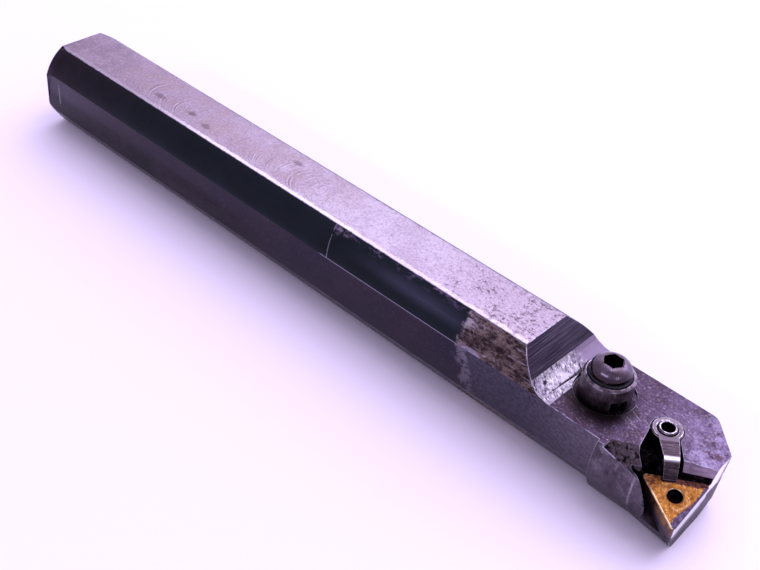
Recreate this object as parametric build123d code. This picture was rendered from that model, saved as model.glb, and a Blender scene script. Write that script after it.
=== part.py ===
from build123d import *
import os
from math import cos, radians, sin, sqrt, tan

# Left-hand indexable boring bar for a three-cornered insert, with coolant through the bar.
# Millimetres. X runs along the bar from its rear face to the cutting end, Z is up and square
# to the top flat, and the insert's nose points to -Y. The origin is the centre of the rear face.

# Bar
BAR_D = 32.0               # round shank
BAR_L = 250.0              # rear face to the end cutting edge
TOP_FLAT_Z = 13.65         # ground flats, as distances from the bar's axis
BOTTOM_FLAT_Z = 13.65
FRONT_FLAT_Y = 14.65
BACK_FLAT_Y = 13.5
REAR_LEAD_DEPTH = 0.5      # slight lead at the rear end
REAR_LEAD_LENGTH = 4.5

# Head, its lengths counted back from the end cutting edge
RUN_DOWN_BACK = 54.1       # the top flat ends here and runs down to the head
HEAD_TOP_Z = 6.3
RUN_DOWN_ANGLE = 38.0
RUN_DOWN_RADIUS = 11.2
SWELL_BACK = 25.8          # the front flat ends at a shoulder; beyond it the head swells
SWELL_Y = 0.95             # how far the swollen part is shifted out and down
SWELL_Z = 0.9
FLARE_BACK = 13.9          # from here it flares to the end
FLARE_Y = 2.0
FLARE_Z = 1.75
CORNER_LENGTH = 9.6        # cut-off back corner of the head, along and across the bar
CORNER_WIDTH = 9.6
CORNER_RADIUS = 4.0
END_RELIEF_ANGLE = 14.0    # lower back part of the end face leans back by this
END_RELIEF_SLOPE = 30.0    # slope of the line where that relief starts
END_RELIEF_Y = 3.5         # a point of this line, across and up
END_RELIEF_Z = -5.0

# Insert, a double-sided 60 degree triangle
INSERT_IC = 9.525          # inscribed circle
INSERT_T = 4.76
NOSE_R = 0.8
INSERT_HOLE_D = 3.81
INSERT_HOLE_CHAMFER = 0.15
EDGE_LAND = 0.2
INSERT_LEAD = 0.9          # the end edge trails by this from square to the bar
NOSE_Y = 19.7              # nose to the bar's axis
NOSE_Z = 0.15              # nose above the axis
RADIAL_RAKE = 11.8
AXIAL_RAKE = 4.4

# Shim under the insert
SHIM_T = 3.18
SHIM_INSET = 0.15
SHIM_HOLE_D = 5.0

# Pocket for the two
END_FACE_SETBACK = 0.45    # end face behind the insert's end flank
POCKET_SIDE_GAP = 2.2      # free room beside the insert's front flank
POCKET_CORNER_R = 2.6
WALL_RELIEF = 1.4          # the wall above the insert stands back by this
WALL_BEVEL_Z = 3.9         # a bevel rises from here to the head's top
BEVEL_START = 3.4          # its upper edge behind the wall's line, at the clamp's side
BEVEL_END = 1.8            # and at the end face
WALL_LENGTH = 17.4         # insert's back corner to the end face
RELIEF_HOLE_D = 5.6        # drilled relief behind the insert's back corner
RELIEF_HOLE_ALONG = 2.85   # its centre, from that corner along the wall
RELIEF_HOLE_BEHIND = 1.85  # and behind the wall
SEAT_CLEARANCE = 0.01      # between insert or shim and the wall

# Chip gullet ahead of the pocket
GULLET_BEHIND = 4.85       # its top edge, behind the line of the pocket's wall
GULLET_SLOPE = 17.0
GULLET_START = 8.2         # its left end, from the insert's back corner
GULLET_END = 2.5

# Lock pin: a screw with an off-centre head that draws the insert to the wall
PIN_THREAD_D = 4.8
PIN_HEAD_D = 3.2
PIN_THROW = 0.2
PIN_TOP_BELOW = 0.9        # below the insert's face
PIN_LENGTH = 12.2
PIN_HEX = 1.6
PIN_HEX_DEPTH = 1.4

# Clamp finger and its screw
CLAMP_BACK = 16.2          # its axis, back from the end cutting edge
CLAMP_Y = 0.45
CLAMP_ANGLE = -52.0        # direction of the finger, from the bar's axis
CLAMP_TOP_Z = 6.7
CLAMP_T = 3.7
RING_D = 8.1
RING_CHAMFER = 0.35
FINGER_W = 4.9             # at the ring
FINGER_TIP_W = 3.3
FINGER_T = 2.9
BEND_REACH = 10.2          # ring's centre to the bend
TIP_REACH = 13.3           # and to the tip
BEND_R = 2.5
PAD_START = 11.6
PAD_GAP = 0.02
SLOT_CLEARANCE = 0.4       # beside the finger
SEAT_PLAY = 0.15           # round the ring
SLOT_FLOOR_Z = 2.4
CLAMP_SCREW_D = 4.8
CLAMP_SCREW_PROUD = 0.45
CLAMP_SCREW_LENGTH = 14.0
CLAMP_SCREW_HEX = 3.0
CLAMP_SCREW_HEX_DEPTH = 3.0
CLAMP_SCREW_CHAMFER = 0.25

# Coolant nozzle: a collar with a side outlet, held by a hollow button-head screw
NOZZLE_BACK = 34.15        # its axis, back from the end cutting edge
NOZZLE_Y = -0.2
NOZZLE_RECESS_D = 16.2
NOZZLE_RECESS_DEPTH = 1.0
COLLAR_D = 13.5
COLLAR_TOP_Z = 12.8
COLLAR_CHAMFER = 0.6
COLLAR_BORE_D = 6.4
CHAMBER_D = 9.2            # ring-shaped chamber inside the collar
CHAMBER_Z = 6.75
CHAMBER_H = 2.8
OUTLET_D = 2.2
OUTLET_Z = 7.6
OUTLET_ANGLE = -27.0       # direction of the jet, from the bar's axis
NOTCH_W = 4.5              # square notch round the outlet, open to the collar's base
NOTCH_H = 3.5
NOTCH_DEPTH = 1.2
HEAD_SEAT_D = 11.6         # shallow seat in the collar's top
HEAD_SEAT_DEPTH = 0.9
HEAD_SEAL_D = 11.2
HEAD_SEAL_T = 1.3
BASE_SEAL_D = 10.2
BASE_SEAL_SECTION = 1.2
BASE_SEAL_SQUEEZE = 0.3
SEAL_PLAY = 0.05
SCREW_D = 6.0
SCREW_HEAD_D = 10.7
SCREW_EDGE_H = 1.0
SCREW_HEAD_H = 3.6
SCREW_TOP_D = 5.6
SCREW_HEX = 4.76
SCREW_HEX_DEPTH = 2.3
SCREW_BORE_D = 2.6
SCREW_PORT_D = 2.0
SCREW_GRIP = 3.8           # thread in the bar

# Coolant way through the bar
INLET_D = 11.45            # core of the G 1/4 thread
INLET_DEPTH = 14.0
COOLANT_BORE_D = 8.0
COOLANT_BORE_Z = -2.5
COOLANT_BORE_PAST = 2.5    # past the nozzle's axis

RUNNING = 0.05             # radial clearance of screws in their holes
BEYOND = 60.0              # cutting bodies reach this far

HEX_ROUND = 2.0 / sqrt(3.0)    # corners of a hexagon against its flats
AT_CORNER = 60.0               # insert corners stand at this angle to the bar
RUN_DOWN_X = BAR_L - RUN_DOWN_BACK
SWELL_X = BAR_L - SWELL_BACK
FLARE_X = BAR_L - FLARE_BACK
CLAMP_X = BAR_L - CLAMP_BACK
NOZZLE_X = BAR_L - NOZZLE_BACK


def along_x(shape, x, y=0.0, z=0.0):
    """Turn a shape built up along Z so that it runs from x along +X."""
    return Location((x, y, z), (0, 90, 0)) * shape


def rod(radius, length):
    return Cylinder(radius, length, align=(Align.CENTER, Align.CENTER, Align.MIN))


def slab(x0, x1, y0, y1, z0, z1):
    return Pos(x0, y0, z0) * Box(x1 - x0, y1 - y0, z1 - z0, align=(Align.MIN,) * 3)


def upright(points, z0, z1):
    """An upright prism over a plan outline."""
    return Pos(0, 0, z0) * extrude(make_face(Polyline(*points, close=True)), z1 - z0)


def hexagon(flats, depth):
    return extrude(RegularPolygon(flats / 2.0 * HEX_ROUND, 6), depth)


def insert_frame():
    """Frame of the insert: origin at the hole's centre on its face, X to the bar's end."""
    tilt = (RADIAL_RAKE, AXIAL_RAKE, INSERT_LEAD)
    arc = INSERT_IC - 2.0 * NOSE_R
    reach = Location((0, 0, 0), tilt) * Pos(arc * cos(radians(AT_CORNER)), -arc * sin(radians(AT_CORNER)), 0)
    shift = reach.position
    return Location((BAR_L - NOSE_R - shift.X, NOSE_R - NOSE_Y - shift.Y, NOSE_Z - shift.Z), tilt)


SEAT = insert_frame()
CORNER = (SEAT * Pos(-INSERT_IC, 0, 0)).position            # back corner of the insert
WALL_END = (SEAT * Pos(INSERT_IC / 2.0, INSERT_IC * sin(radians(AT_CORNER)), 0)).position
WALL_DIR = Vector(WALL_END.X - CORNER.X, WALL_END.Y - CORNER.Y, 0).normalized()
WALL_PLANE = Plane(
    origin=(CORNER.X, CORNER.Y, 0),
    x_dir=(-WALL_DIR.Y, WALL_DIR.X, 0),
    z_dir=(WALL_DIR.X, WALL_DIR.Y, 0),
)
FINGER_DIR = (cos(radians(CLAMP_ANGLE)), sin(radians(CLAMP_ANGLE)))
FINGER_PLANE = Plane(
    origin=(CLAMP_X, CLAMP_Y, 0),
    x_dir=(FINGER_DIR[0], FINGER_DIR[1], 0),
    z_dir=(FINGER_DIR[1], -FINGER_DIR[0], 0),
)
FLOOR_Z = HEAD_TOP_Z - NOZZLE_RECESS_DEPTH                  # floor of the nozzle's recess
HEAD_SEAT_Z = COLLAR_TOP_Z - HEAD_SEAT_DEPTH
SCREW_SEAT_Z = HEAD_SEAT_Z + HEAD_SEAL_T


def wall_point(along, behind):
    """Plan point given from the insert's back corner, along the wall and behind it."""
    return (
        CORNER.X + along * WALL_DIR.X - behind * WALL_DIR.Y,
        CORNER.Y + along * WALL_DIR.Y + behind * WALL_DIR.X,
    )


def finger_point(reach, side):
    """Plan point given from the clamp's axis, along the finger and to its left."""
    return (
        CLAMP_X + reach * FINGER_DIR[0] - side * FINGER_DIR[1],
        CLAMP_Y + reach * FINGER_DIR[1] + side * FINGER_DIR[0],
    )


def triangle(offset, height, corner_r):
    """Triangular prism on the insert's outline, moved in by offset, its top on Z = 0."""
    outline = RegularPolygon(INSERT_IC - 2.0 * offset, 3, rotation=180)
    outline = fillet(outline.vertices(), corner_r)
    return extrude(outline, -height)


def bar_blank():
    """Round bar with a lead at the rear and a head that swells to the cutting side."""
    round_bar = Cylinder(BAR_D / 2.0, BAR_L, align=(Align.CENTER, Align.CENTER, Align.MIN))
    rear = round_bar.edges().filter_by(GeomType.CIRCLE).sort_by(Axis.Z)[0]
    rear_face = round_bar.faces().sort_by(Axis.Z)[0]
    round_bar = chamfer(rear, REAR_LEAD_DEPTH, REAR_LEAD_LENGTH, reference=rear_face)
    blank = along_x(round_bar, 0)
    blank -= slab(-1, SWELL_X, -BEYOND, -FRONT_FLAT_Y, -BEYOND, BEYOND)
    swell = along_x(rod(BAR_D / 2.0, FLARE_X - SWELL_X), SWELL_X, -SWELL_Y, -SWELL_Z)
    flare_ends = [
        Plane(origin=(FLARE_X, -SWELL_Y, -SWELL_Z), z_dir=(1, 0, 0)) * Circle(BAR_D / 2.0),
        Plane(origin=(BAR_L, -FLARE_Y, -FLARE_Z), z_dir=(1, 0, 0)) * Circle(BAR_D / 2.0),
    ]
    return blank + swell + loft(flare_ends, ruled=True)


def flats():
    """Cutting bodies for the top, bottom and back flats."""
    return [
        slab(-1, BAR_L + 1, -BEYOND, BEYOND, TOP_FLAT_Z, BEYOND),
        slab(-1, BAR_L + 1, -BEYOND, BEYOND, -BEYOND, -BOTTOM_FLAT_Z),
        slab(-1, BAR_L + 1, BACK_FLAT_Y, BEYOND, -BEYOND, BEYOND),
    ]


def run_down():
    """Everything above the head: a slope from the top flat, a concave radius, the head's flat."""
    angle = radians(RUN_DOWN_ANGLE)
    arc_drop = RUN_DOWN_RADIUS * (1.0 - cos(angle))
    slope_drop = TOP_FLAT_Z - HEAD_TOP_Z - arc_drop
    x1 = RUN_DOWN_X + slope_drop / tan(angle)
    z1 = TOP_FLAT_Z - slope_drop
    x2 = x1 + RUN_DOWN_RADIUS * sin(angle)
    half = angle / 2.0
    middle = (
        x2 - RUN_DOWN_RADIUS * sin(half),
        HEAD_TOP_Z + RUN_DOWN_RADIUS * (1.0 - cos(half)),
    )
    outline = Polyline((x2, HEAD_TOP_Z), (BAR_L + 1, HEAD_TOP_Z), (BAR_L + 1, BEYOND),
                       (RUN_DOWN_X, BEYOND), (RUN_DOWN_X, TOP_FLAT_Z), (x1, z1))
    outline += ThreePointArc((x1, z1), middle, (x2, HEAD_TOP_Z))
    profile = Plane.XZ * make_face(outline)
    return extrude(profile, BEYOND, both=True)


def end_cuts():
    """End face level with the insert's flank, its relief, and the cut-off back corner."""
    past = INSERT_IC / 2.0 - END_FACE_SETBACK
    face = SEAT * Pos(past, 0, 0) * Box(BEYOND, 2 * BEYOND, 2 * BEYOND, align=(Align.MIN, Align.CENTER, Align.CENTER))
    end_x = (SEAT * Pos(past, 0, 0)).position.X
    slope = radians(END_RELIEF_SLOPE)
    back = radians(END_RELIEF_ANGLE)
    relief_plane = Plane(
        origin=(end_x, END_RELIEF_Y, END_RELIEF_Z),
        x_dir=(0, cos(slope), sin(slope)),
        z_dir=(cos(back), sin(back) * sin(slope), -sin(back) * cos(slope)),
    )
    relief = relief_plane * Box(2 * BEYOND, 2 * BEYOND, BEYOND, align=(Align.CENTER, Align.CENTER, Align.MIN))
    relief &= relief_plane.offset(0) * Pos(0, -BEYOND, 0) * Box(2 * BEYOND, 2 * BEYOND, 2 * BEYOND)
    top_x = end_x + HEAD_TOP_Z * tan(radians(AXIAL_RAKE))
    kept = make_face(Polyline(
        (top_x - CORNER_LENGTH, BACK_FLAT_Y),
        (top_x, BACK_FLAT_Y - CORNER_WIDTH),
        (top_x, -BEYOND),
        (0, -BEYOND),
        (0, BACK_FLAT_Y),
        close=True,
    ))
    kept = fillet(kept.vertices().sort_by_distance((top_x, BACK_FLAT_Y))[:2], CORNER_RADIUS)
    behind = slab(top_x - 2 * CORNER_LENGTH, BEYOND + BAR_L, BACK_FLAT_Y - CORNER_WIDTH - CORNER_RADIUS,
                  BEYOND, -BEYOND, BEYOND)
    corner = behind - Pos(0, 0, -2 * BEYOND) * extrude(kept, 4 * BEYOND)
    return [face, relief, corner]


def coolant_way():
    """Threaded inlet, long bore and the nozzle's threaded riser and recess."""
    inlet = along_x(rod(INLET_D / 2.0, INLET_DEPTH + 1), -1)
    bore = along_x(rod(COOLANT_BORE_D / 2.0, NOZZLE_X + COOLANT_BORE_PAST), 0, 0, COOLANT_BORE_Z)
    riser = Pos(NOZZLE_X, NOZZLE_Y, COOLANT_BORE_Z) * rod(SCREW_D / 2.0 + RUNNING, BEYOND)
    recess = Pos(NOZZLE_X, NOZZLE_Y, FLOOR_Z) * rod(NOZZLE_RECESS_D / 2.0, BEYOND)
    return [inlet, bore, riser, recess]


def pocket():
    """Room for shim and insert, its corner reliefs, and the hole for the lock pin."""
    depth = INSERT_T + SHIM_T
    wall_x, wall_y = cos(radians(30)), sin(radians(30))
    corner = (-INSERT_IC - 2.0 * SEAT_CLEARANCE, 0)
    far = 3.0 * INSERT_IC
    gap = POCKET_SIDE_GAP
    outline = Polyline(
        corner,
        (corner[0] + far * wall_x, far * wall_y),
        (far, 0),
        (corner[0] - gap * wall_y + far * wall_x, -gap * wall_x - far * wall_y),
        (corner[0] - gap * wall_y, -gap * wall_x),
        close=True,
    )
    room = extrude(make_face(outline), depth + BEYOND)
    end = Pos(corner[0], 0, 0) * rod(POCKET_CORNER_R, depth + BEYOND)
    end -= Plane(origin=(corner[0], 0, 0), z_dir=(-wall_y, wall_x, 0)) * Box(
        2 * BEYOND, 2 * BEYOND, BEYOND, align=(Align.CENTER, Align.CENTER, Align.MIN))
    seat = SEAT * Pos(0, 0, -depth) * (room + end)
    hole_x, hole_y = wall_point(RELIEF_HOLE_ALONG, RELIEF_HOLE_BEHIND)
    floor_z = (SEAT * Pos(-INSERT_IC, 0, -depth)).position.Z
    relief = Pos(hole_x, hole_y, floor_z) * rod(RELIEF_HOLE_D / 2.0, BEYOND)
    pin = SEAT * Pos(0, 0, -PIN_TOP_BELOW - PIN_LENGTH - 0.5) * rod(PIN_THREAD_D / 2.0 + RUNNING, BEYOND)
    return [seat, relief, pin]


def wall_relief():
    """The pocket's wall above the insert: set back, then bevelled up to the head's top."""
    low = CORNER.Z - 0.4
    start = RELIEF_HOLE_ALONG + 1.0
    taper = (BEVEL_START - BEVEL_END) / (WALL_LENGTH - start)
    ends = []
    for along in (start, WALL_LENGTH + 6):
        top = BEVEL_START - taper * (along - start)
        lean = (top - WALL_RELIEF) / (HEAD_TOP_Z - WALL_BEVEL_Z)
        outline = Polyline(
            (-BEYOND / 4, low),
            (WALL_RELIEF, low),
            (WALL_RELIEF, WALL_BEVEL_Z),
            (top + 2 * lean, HEAD_TOP_Z + 2),
            (-BEYOND / 4, HEAD_TOP_Z + 2),
            close=True,
        )
        ends.append(WALL_PLANE.offset(along) * make_face(outline))
    return loft(ends, ruled=True)


def gullet():
    """Sloping facet that lets chips out, running down along the pocket's wall line."""
    fall = (GULLET_BEHIND + BEYOND / 2) * tan(radians(GULLET_SLOPE))
    outline = Polyline(
        (GULLET_BEHIND, HEAD_TOP_Z),
        (GULLET_BEHIND, HEAD_TOP_Z + 5),
        (-BEYOND / 2, HEAD_TOP_Z + 5),
        (-BEYOND / 2, HEAD_TOP_Z - fall),
        close=True,
    )
    body = extrude(WALL_PLANE * make_face(outline), BEYOND, both=True)
    plan = upright([
        wall_point(-GULLET_START, GULLET_BEHIND + 1),
        wall_point(-GULLET_START, GULLET_BEHIND),
        wall_point(-GULLET_START - 0.7 * (GULLET_BEHIND + BEYOND / 2), -BEYOND / 2),
        wall_point(GULLET_END, -BEYOND / 2),
        wall_point(GULLET_END, GULLET_BEHIND + 1),
    ], -BEYOND, BEYOND)
    return body & plan


def clamp_slot():
    """Slot in the head for the clamp finger, open to the pocket, and the screw's hole."""
    seat_r = RING_D / 2.0 + SEAT_PLAY
    seat = Pos(CLAMP_X, CLAMP_Y, SLOT_FLOOR_Z) * rod(seat_r, BEYOND)
    half = FINGER_W / 2.0 + SLOT_CLEARANCE
    gullet_edge = wall_point(-2.0 * SEAT_CLEARANCE - 1.15, GULLET_BEHIND)
    run = upright([
        finger_point(0, half),
        finger_point(TIP_REACH + 2, half),
        wall_point(0, -1),
        wall_point(-1.15, GULLET_BEHIND - 2),
        gullet_edge,
        finger_point(0, -seat_r),
    ], SLOT_FLOOR_Z, BEYOND)
    depth = CLAMP_SCREW_LENGTH - CLAMP_SCREW_PROUD - CLAMP_TOP_Z + 1.0
    hole = Pos(CLAMP_X, CLAMP_Y, -depth) * rod(CLAMP_SCREW_D / 2.0 + RUNNING, BEYOND)
    return [seat, run, hole]


def bar_body():
    body = bar_blank()
    for cut in flats() + [run_down()] + end_cuts() + coolant_way():
        body -= cut
    for cut in clamp_slot() + [gullet(), wall_relief()] + pocket():
        body -= cut
    return body


def insert():
    body = triangle(0, INSERT_T, NOSE_R)
    rims = body.faces().filter_by(Axis.Z)
    body = chamfer([edge for face in rims for edge in face.edges()], EDGE_LAND)
    body -= Pos(0, 0, -INSERT_T - 1) * rod(INSERT_HOLE_D / 2.0, INSERT_T + 2)
    wide = INSERT_HOLE_D / 2.0 + INSERT_HOLE_CHAMFER
    sink = Cone(INSERT_HOLE_D / 2.0, wide, INSERT_HOLE_CHAMFER, align=(Align.CENTER, Align.CENTER, Align.MAX))
    body -= sink
    body -= Pos(0, 0, -INSERT_T) * Rot(180, 0, 0) * sink
    return SEAT * body


def shim():
    body = triangle(SHIM_INSET, SHIM_T, NOSE_R + 0.4)
    body -= Pos(0, 0, -SHIM_T - 1) * rod(SHIM_HOLE_D / 2.0, SHIM_T + 2)
    return SEAT * Pos(0, 0, -INSERT_T) * body


def lock_pin():
    """Threaded body in the bar and shim, off-centre head in the insert's hole."""
    head_bottom = INSERT_T + 0.35
    body = Pos(0, 0, -PIN_TOP_BELOW - PIN_LENGTH) * rod(PIN_THREAD_D / 2.0, PIN_LENGTH + PIN_TOP_BELOW - head_bottom)
    toward_wall = Pos(PIN_THROW * cos(radians(120)), PIN_THROW * sin(radians(120)), -head_bottom)
    head = rod(PIN_HEAD_D / 2.0, head_bottom - PIN_TOP_BELOW)
    head = chamfer(head.edges().sort_by(Axis.Z)[-1], 0.2)
    body += toward_wall * head
    body -= toward_wall * Pos(0, 0, head_bottom - PIN_TOP_BELOW - PIN_HEX_DEPTH) * hexagon(PIN_HEX, BEYOND)
    return SEAT * body


def clamp_finger():
    """Ring round the screw and a finger that bends down to press on the insert."""
    low = CLAMP_TOP_Z - CLAMP_T
    tip_z = CORNER.Z - 2.0
    outline = Polyline(
        (0, low),
        (0, CLAMP_TOP_Z),
        (BEND_REACH, CLAMP_TOP_Z),
        (TIP_REACH, CORNER.Z + 0.35),
        (TIP_REACH, tip_z),
        (PAD_START, tip_z),
        (PAD_START - 1.2, CLAMP_TOP_Z - FINGER_T),
        (RING_D / 2.0 + 1.0, CLAMP_TOP_Z - FINGER_T),
        (RING_D / 2.0, low),
        close=True,
    )
    side_view = make_face(outline)
    bend = side_view.vertices().sort_by_distance((BEND_REACH, CLAMP_TOP_Z))[0]
    side_view = fillet(bend, BEND_R)
    finger = extrude(FINGER_PLANE * side_view, FINGER_W, both=True)
    plan = [
        finger_point(0, FINGER_W / 2.0),
        finger_point(RING_D / 2.0, FINGER_W / 2.0),
        finger_point(TIP_REACH, FINGER_TIP_W / 2.0),
        finger_point(TIP_REACH, -FINGER_TIP_W / 2.0),
        finger_point(RING_D / 2.0, -FINGER_W / 2.0),
        finger_point(0, -FINGER_W / 2.0),
    ]
    finger &= upright(plan, -BEYOND, BEYOND)
    finger -= SEAT * Pos(0, 0, PAD_GAP) * Box(4 * INSERT_IC, 4 * INSERT_IC, BEYOND,
                                              align=(Align.CENTER, Align.CENTER, Align.MAX))
    ring = rod(RING_D / 2.0, CLAMP_T)
    ring = chamfer(ring.edges().sort_by(Axis.Z)[-1], RING_CHAMFER)
    body = finger + Pos(CLAMP_X, CLAMP_Y, low) * ring
    bore_r = CLAMP_SCREW_D / 2.0 + RUNNING
    body -= Pos(CLAMP_X, CLAMP_Y, -BEYOND) * rod(bore_r, 2 * BEYOND)
    body -= Pos(CLAMP_X, CLAMP_Y, CLAMP_TOP_Z) * Cone(
        bore_r, bore_r + RING_CHAMFER, RING_CHAMFER, align=(Align.CENTER, Align.CENTER, Align.MAX))
    return body


def clamp_screw():
    """Headless differential screw, hollow-ended, standing a little proud of the ring."""
    body = rod(CLAMP_SCREW_D / 2.0, CLAMP_SCREW_LENGTH)
    body = chamfer(body.edges().filter_by(GeomType.CIRCLE), CLAMP_SCREW_CHAMFER)
    body -= Pos(0, 0, CLAMP_SCREW_LENGTH - CLAMP_SCREW_HEX_DEPTH) * hexagon(CLAMP_SCREW_HEX, BEYOND)
    hex_r = CLAMP_SCREW_HEX / 2.0
    body -= Pos(0, 0, CLAMP_SCREW_LENGTH) * Cone(
        hex_r, hex_r + 0.4, 0.4, align=(Align.CENTER, Align.CENTER, Align.MAX))
    top = CLAMP_TOP_Z + CLAMP_SCREW_PROUD
    return Pos(CLAMP_X, CLAMP_Y, top - CLAMP_SCREW_LENGTH) * body


def nozzle_collar():
    """Collar with an inner chamber and an outlet in a notch, sealed to the bar by its base's ring."""
    height = COLLAR_TOP_Z - FLOOR_Z
    body = rod(COLLAR_D / 2.0, height)
    body = chamfer(body.edges().sort_by(Axis.Z)[-1], COLLAR_CHAMFER)
    body -= Pos(0, 0, -1) * rod(COLLAR_BORE_D / 2.0, height + 2)
    body -= Pos(0, 0, height - HEAD_SEAT_DEPTH) * rod(HEAD_SEAT_D / 2.0, 5)
    body -= Pos(0, 0, CHAMBER_Z - FLOOR_Z) * rod(CHAMBER_D / 2.0, CHAMBER_H)
    groove = rod(BASE_SEAL_D / 2.0 + SEAL_PLAY, BASE_SEAL_SECTION - BASE_SEAL_SQUEEZE + SEAL_PLAY)
    groove -= rod(BASE_SEAL_D / 2.0 - BASE_SEAL_SECTION - SEAL_PLAY, BEYOND)
    body -= groove
    body -= Pos(0, 0, OUTLET_Z - FLOOR_Z) * Rot(0, 90, 0) * rod(OUTLET_D / 2.0, COLLAR_D)
    body -= slab(COLLAR_D / 2.0 - NOTCH_DEPTH, COLLAR_D, -NOTCH_W / 2.0, NOTCH_W / 2.0, -1, NOTCH_H)
    return Location((NOZZLE_X, NOZZLE_Y, FLOOR_Z), (0, 0, OUTLET_ANGLE)) * body


def ring_seal(outer_d, section_w, height, round_r):
    """Ring of rubber with rounded corners, its base on Z = 0."""
    mid = outer_d / 2.0 - section_w / 2.0
    section = Plane.XZ * Pos(mid, height / 2.0) * RectangleRounded(section_w, height, round_r)
    return revolve(section, Axis.Z)


def nozzle_base_seal():
    height = BASE_SEAL_SECTION - BASE_SEAL_SQUEEZE
    return Pos(NOZZLE_X, NOZZLE_Y, FLOOR_Z) * ring_seal(BASE_SEAL_D, BASE_SEAL_SECTION, height, 0.4)


def nozzle_head_seal():
    width = (HEAD_SEAL_D - COLLAR_BORE_D) / 2.0
    return Pos(NOZZLE_X, NOZZLE_Y, HEAD_SEAT_Z) * ring_seal(HEAD_SEAL_D, width, HEAD_SEAL_T, 0.3)


def nozzle_screw():
    """Button-head banjo screw: bored from below, with two cross ports into the chamber."""
    edge_r = SCREW_HEAD_D / 2.0
    flat_r = SCREW_TOP_D / 2.0
    dome_mid = (edge_r * 0.86, SCREW_EDGE_H + (SCREW_HEAD_H - SCREW_EDGE_H) * 0.56)
    profile = Polyline((flat_r, SCREW_HEAD_H), (0, SCREW_HEAD_H), (0, 0), (edge_r - 0.2, 0),
                       (edge_r, 0.2), (edge_r, SCREW_EDGE_H))
    profile += ThreePointArc((edge_r, SCREW_EDGE_H), dome_mid, (flat_r, SCREW_HEAD_H))
    head = revolve(Plane.XZ * make_face(profile), Axis.Z)
    head -= Pos(0, 0, SCREW_HEAD_H - SCREW_HEX_DEPTH) * hexagon(SCREW_HEX, BEYOND)
    length = SCREW_SEAT_Z - FLOOR_Z + SCREW_GRIP
    shank = Pos(0, 0, -length) * rod(SCREW_D / 2.0, length)
    shank = chamfer(shank.edges().sort_by(Axis.Z)[0], 0.5)
    port_z = CHAMBER_Z + CHAMBER_H / 2.0 - SCREW_SEAT_Z
    shank -= Pos(0, 0, -length - 1) * rod(SCREW_BORE_D / 2.0, length + 1 + port_z)
    for turn in (0, 90):
        shank -= Pos(0, 0, port_z) * Rot(0, 90, turn) * Cylinder(SCREW_PORT_D / 2.0, 2 * SCREW_D)
    return Pos(NOZZLE_X, NOZZLE_Y, SCREW_SEAT_Z) * (head + shank)


NODES = {
    "bar_body": bar_body,
    "insert": insert,
    "shim": shim,
    "lock_pin": lock_pin,
    "clamp_finger": clamp_finger,
    "clamp_screw": clamp_screw,
    "nozzle_collar": nozzle_collar,
    "nozzle_base_seal": nozzle_base_seal,
    "nozzle_head_seal": nozzle_head_seal,
    "nozzle_screw": nozzle_screw,
}

os.makedirs("parts", exist_ok=True)
for name, build in NODES.items():
    export_step(build(), f"parts/{name}.step")
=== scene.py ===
import math

import bmesh
import bpy
from mathutils import Euler, Matrix, Vector


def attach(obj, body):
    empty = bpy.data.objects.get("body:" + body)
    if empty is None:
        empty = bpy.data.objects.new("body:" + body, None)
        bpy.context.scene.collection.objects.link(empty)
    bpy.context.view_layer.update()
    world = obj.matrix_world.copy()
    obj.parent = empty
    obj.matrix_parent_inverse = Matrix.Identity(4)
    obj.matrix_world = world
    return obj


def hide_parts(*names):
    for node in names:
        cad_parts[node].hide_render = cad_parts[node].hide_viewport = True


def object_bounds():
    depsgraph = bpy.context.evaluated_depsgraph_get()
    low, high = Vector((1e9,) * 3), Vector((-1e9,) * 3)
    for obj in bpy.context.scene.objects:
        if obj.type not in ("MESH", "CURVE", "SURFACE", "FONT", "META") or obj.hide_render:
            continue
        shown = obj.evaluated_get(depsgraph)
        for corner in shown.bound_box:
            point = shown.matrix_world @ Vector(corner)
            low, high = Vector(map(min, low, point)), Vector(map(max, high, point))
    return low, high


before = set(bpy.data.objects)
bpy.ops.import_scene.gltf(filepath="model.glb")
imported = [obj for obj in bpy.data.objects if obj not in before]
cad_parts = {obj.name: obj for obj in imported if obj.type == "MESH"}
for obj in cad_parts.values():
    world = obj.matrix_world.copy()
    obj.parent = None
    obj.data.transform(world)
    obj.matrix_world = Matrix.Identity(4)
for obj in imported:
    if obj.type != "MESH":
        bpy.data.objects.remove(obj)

cad_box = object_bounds()

# Bar: one piece of alloy steel. It is turned, its flats are milled, the whole is blackened in hot
# salts, and the top flat is ground again. The head is milled down from the same piece; swarf,
# coolant and clamping have stained it, pitted it and rubbed its edges bright.


def linear(code):
    """A colour written as sRGB hex, as the linear values that a shader takes."""
    parts = [int(code[i:i + 2], 16) / 255 for i in (1, 3, 5)]
    return [p / 12.92 if p <= 0.04045 else ((p + 0.055) / 1.055) ** 2.4 for p in parts] + [1.0]


def add(tree, kind, inputs, out=0, **settings):
    """Adds a node with its settings, values and links, and gives back one of its outputs."""
    node = tree.nodes.new(kind)
    for name, value in settings.items():
        setattr(node, name, value)
    for key, value in inputs.items():
        if isinstance(value, bpy.types.NodeSocket):
            tree.links.new(value, node.inputs[key])
        else:
            node.inputs[key].default_value = value
    return node.outputs[out] if node.outputs else None


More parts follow.
